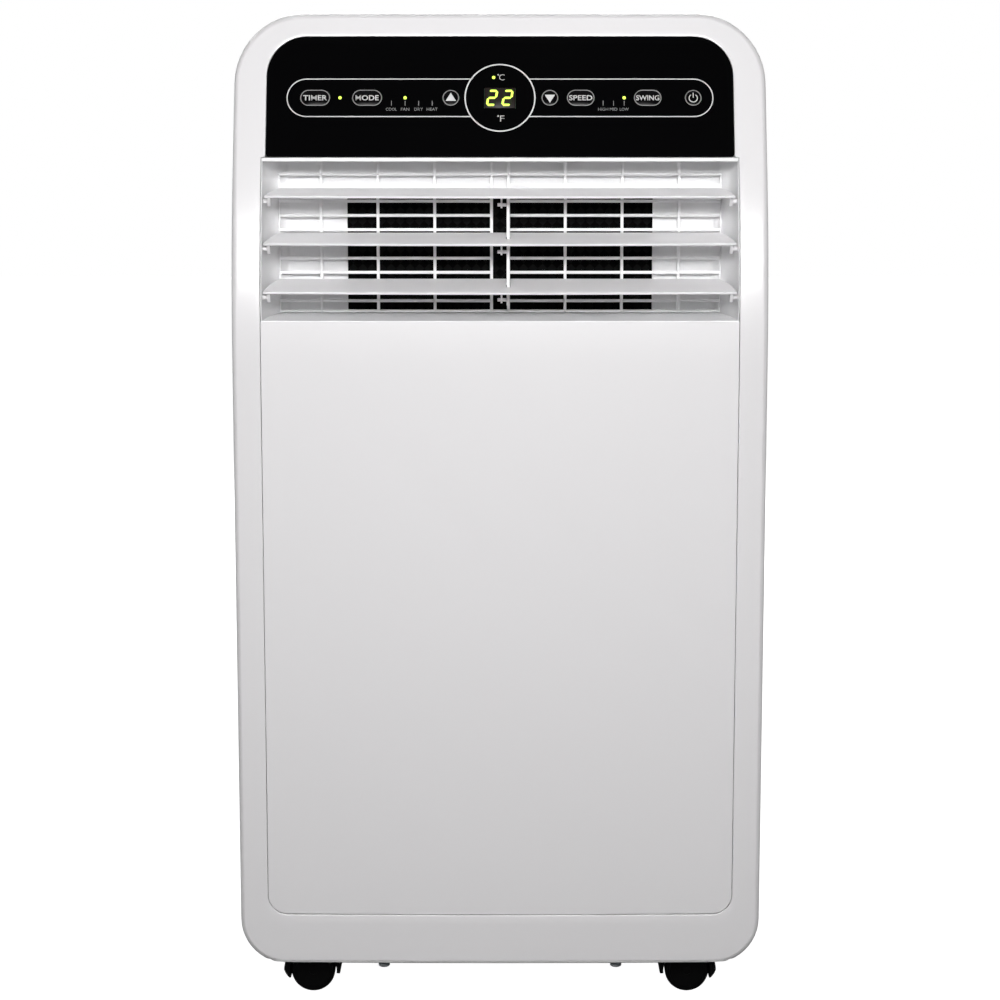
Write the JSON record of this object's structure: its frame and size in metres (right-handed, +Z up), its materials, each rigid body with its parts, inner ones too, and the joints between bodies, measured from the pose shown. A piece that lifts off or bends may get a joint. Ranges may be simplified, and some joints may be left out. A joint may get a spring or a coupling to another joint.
{
  "type": "portable air conditioner",
  "caption": "Upright portable air conditioner on swivelling casters, with a sloping touch panel, swinging vent slats, rear filters and an exhaust collar.",
  "frame": {"origin": "on the floor, under the middle of the whole machine", "axes": "+Z up, front face towards -Y, +X to the right of a person facing the front"},
  "size_m": [0.37, 0.345, 0.703],
  "materials": {
    "gloss_white": "smooth glossy moulded ABS",
    "satin_white": "satin moulded ABS",
    "vent_white": "semi-gloss moulded ABS",
    "black_gloss": "high gloss overlay",
    "black_plastic": "moulded nylon",
    "smoked": "smoked clear lens",
    "green_board": "coated circuit board",
    "copper": "drawn copper tube",
    "fin": "finned aluminium",
    "steel": "zinc plated steel",
    "black_steel": "black enamel",
    "grey_plastic": "moulded polypropylene",
    "rubber": "moulded rubber",
    "foam": "foam lined moulding"
  },
  "bodies": {
    "housing": {"base_tray": "satin_white", "front_frame": "gloss_white", "front_panel": "gloss_white", "rear_shell": "satin_white", "vent_surround": "vent_white", "outlet_grille": "vent_white", "outlet_duct": "foam", "outlet_screen": "black_plastic", "swing_motor": "steel", "control_panel": "black_gloss", "display_window": "smoked", "control_board": "green_board", "evaporator_housing": "foam", "evaporator_fan_motor": "black_steel", "evaporator_coil": "fin", "drip_tray": "grey_plastic", "condenser_housing": "grey_plastic", "condenser_fan_motor": "black_steel", "condenser_coil": "fin", "compressor": "black_steel", "compressor_grommet_1": "rubber", "compressor_grommet_2": "rubber", "compressor_grommet_3": "rubber", "accumulator": "black_steel", "suction_pipe": "copper", "discharge_pipe": "copper", "electrical_box": "steel", "capacitor": "steel", "slinger_motor": "black_steel", "exhaust_collar": "satin_white", "exhaust_guard": "satin_white", "cord_gland": "black_plastic", "base_screw_left": "steel", "base_screw_right": "steel"},
    "slat_top": {"slat_top": "vent_white"},
    "slat_middle": {"slat_middle": "vent_white"},
    "slat_bottom": {"slat_bottom": "vent_white"},
    "louvre_link": {"louvre_link": "vent_white"},
    "evaporator_fan": {"evaporator_fan": "black_plastic"},
    "condenser_fan": {"condenser_fan": "black_plastic"},
    "slinger_wheel": {"slinger_wheel": "black_plastic"},
    "upper_filter": {"upper_filter": "satin_white"},
    "lower_filter": {"lower_filter": "satin_white"},
    "drain_plug_upper": {"drain_plug_upper": "rubber"},
    "drain_plug_lower": {"drain_plug_lower": "rubber"},
    "key_timer": {"key_timer": "black_gloss"},
    "key_mode": {"key_mode": "black_gloss"},
    "key_up": {"key_up": "black_gloss"},
    "key_down": {"key_down": "black_gloss"},
    "key_speed": {"key_speed": "black_gloss"},
    "key_swing": {"key_swing": "black_gloss"},
    "key_power": {"key_power": "black_gloss"},
    "caster_fl": {"caster_fork_fl": "black_plastic"},
    "wheels_fl": {"caster_wheels_fl": "black_plastic"},
    "caster_fr": {"caster_fork_fr": "black_plastic"},
    "wheels_fr": {"caster_wheels_fr": "black_plastic"},
    "caster_rl": {"caster_fork_rl": "black_plastic"},
    "wheels_rl": {"caster_wheels_rl": "black_plastic"},
    "caster_rr": {"caster_fork_rr": "black_plastic"},
    "wheels_rr": {"caster_wheels_rr": "black_plastic"}
  },
  "joints": [
    {"name": "slat_swing", "type": "hinge", "parent": "housing", "child": "slat_middle", "pos_m": [0, -0.15442, 0.5414], "axis": [1, 0, 0], "range_deg": [-16, 14]},
    {"name": "slat_top_swing", "type": "hinge", "parent": "housing", "child": "slat_top", "pos_m": [0, -0.14641, 0.5737], "axis": [1, 0, 0], "range_deg": [-16, 14]},
    {"name": "slat_bottom_swing", "type": "hinge", "parent": "housing", "child": "slat_bottom", "pos_m": [0, -0.15974, 0.5083], "axis": [1, 0, 0], "range_deg": [-16, 14]},
    {"name": "link_pivot", "type": "hinge", "parent": "slat_middle", "child": "louvre_link", "pos_m": [0.0057, -0.13942, 0.5386], "axis": [1, 0, 0], "range_deg": [-14, 16]},
    {"name": "press_timer", "type": "slide", "parent": "housing", "child": "key_timer", "axis": [0, 0.9455, -0.3256], "range_m": [0, 0.0005], "stiffness_N_per_m": 3000, "springref_m": -0.0001},
    {"name": "press_mode", "type": "slide", "parent": "housing", "child": "key_mode", "axis": [0, 0.9455, -0.3256], "range_m": [0, 0.0005], "stiffness_N_per_m": 3000, "springref_m": -0.0001},
    {"name": "press_up", "type": "slide", "parent": "housing", "child": "key_up", "axis": [0, 0.9455, -0.3256], "range_m": [0, 0.0005], "stiffness_N_per_m": 3000, "springref_m": -0.0001},
    {"name": "press_down", "type": "slide", "parent": "housing", "child": "key_down", "axis": [0, 0.9455, -0.3256], "range_m": [0, 0.0005], "stiffness_N_per_m": 3000, "springref_m": -0.0001},
    {"name": "press_speed", "type": "slide", "parent": "housing", "child": "key_speed", "axis": [0, 0.9455, -0.3256], "range_m": [0, 0.0005], "stiffness_N_per_m": 3000, "springref_m": -0.0001},
    {"name": "press_swing", "type": "slide", "parent": "housing", "child": "key_swing", "axis": [0, 0.9455, -0.3256], "range_m": [0, 0.0005], "stiffness_N_per_m": 3000, "springref_m": -0.0001},
    {"name": "press_power", "type": "slide", "parent": "housing", "child": "key_power", "axis": [0, 0.9455, -0.3256], "range_m": [0, 0.0005], "stiffness_N_per_m": 3000, "springref_m": -0.0001},
    {"name": "evaporator_fan_spin", "type": "hinge", "parent": "housing", "child": "evaporator_fan", "pos_m": [0, -0.0318, 0.5], "axis": [0, 1, 0], "continuous": true},
    {"name": "condenser_fan_spin", "type": "hinge", "parent": "housing", "child": "condenser_fan", "pos_m": [0.062, 0.0495, 0.172], "axis": [0, 1, 0], "continuous": true},
    {"name": "slinger_spin", "type": "hinge", "parent": "housing", "child": "slinger_wheel", "pos_m": [-0.017, 0.0775, 0.063], "axis": [1, 0, 0], "continuous": true},
    {"name": "upper_filter_pull", "type": "slide", "parent": "housing", "child": "upper_filter", "axis": [0, 1, 0], "range_m": [0, 0.06]},
    {"name": "lower_filter_pull", "type": "slide", "parent": "housing", "child": "lower_filter", "axis": [0, 1, 0], "range_m": [0, 0.06]},
    {"name": "upper_plug_pull", "type": "slide", "parent": "housing", "child": "drain_plug_upper", "axis": [0, 1, 0], "range_m": [0, 0.03]},
    {"name": "lower_plug_pull", "type": "slide", "parent": "housing", "child": "drain_plug_lower", "axis": [0, 1, 0], "range_m": [0, 0.03]},
    {"name": "swivel_fl", "type": "hinge", "parent": "housing", "child": "caster_fl", "pos_m": [-0.123, -0.1215, 0.037], "axis": [0, 0, 1], "continuous": true},
    {"name": "roll_fl", "type": "hinge", "parent": "caster_fl", "child": "wheels_fl", "pos_m": [-0.1363, -0.1215, 0.0159], "axis": [0, 1, 0], "continuous": true},
    {"name": "swivel_fr", "type": "hinge", "parent": "housing", "child": "caster_fr", "pos_m": [0.123, -0.1215, 0.037], "axis": [0, 0, 1], "continuous": true},
    {"name": "roll_fr", "type": "hinge", "parent": "caster_fr", "child": "wheels_fr", "pos_m": [0.1363, -0.1215, 0.0159], "axis": [0, 1, 0], "continuous": true},
    {"name": "swivel_rl", "type": "hinge", "parent": "housing", "child": "caster_rl", "pos_m": [-0.123, 0.1065, 0.037], "axis": [0, 0, 1], "continuous": true},
    {"name": "roll_rl", "type": "hinge", "parent": "caster_rl", "child": "wheels_rl", "pos_m": [-0.1363, 0.1065, 0.0159], "axis": [0, 1, 0], "continuous": true},
    {"name": "swivel_rr", "type": "hinge", "parent": "housing", "child": "caster_rr", "pos_m": [0.123, 0.1065, 0.037], "axis": [0, 0, 1], "continuous": true},
    {"name": "roll_rr", "type": "hinge", "parent": "caster_rr", "child": "wheels_rr", "pos_m": [0.1363, 0.1065, 0.0159], "axis": [0, 1, 0], "continuous": true}
  ],
  "couplings": [
    {"joint": "slat_top_swing", "follows": "slat_swing", "ratio": 1},
    {"joint": "slat_bottom_swing", "follows": "slat_swing", "ratio": 1},
    {"joint": "link_pivot", "follows": "slat_swing", "ratio": -1}
  ]
}
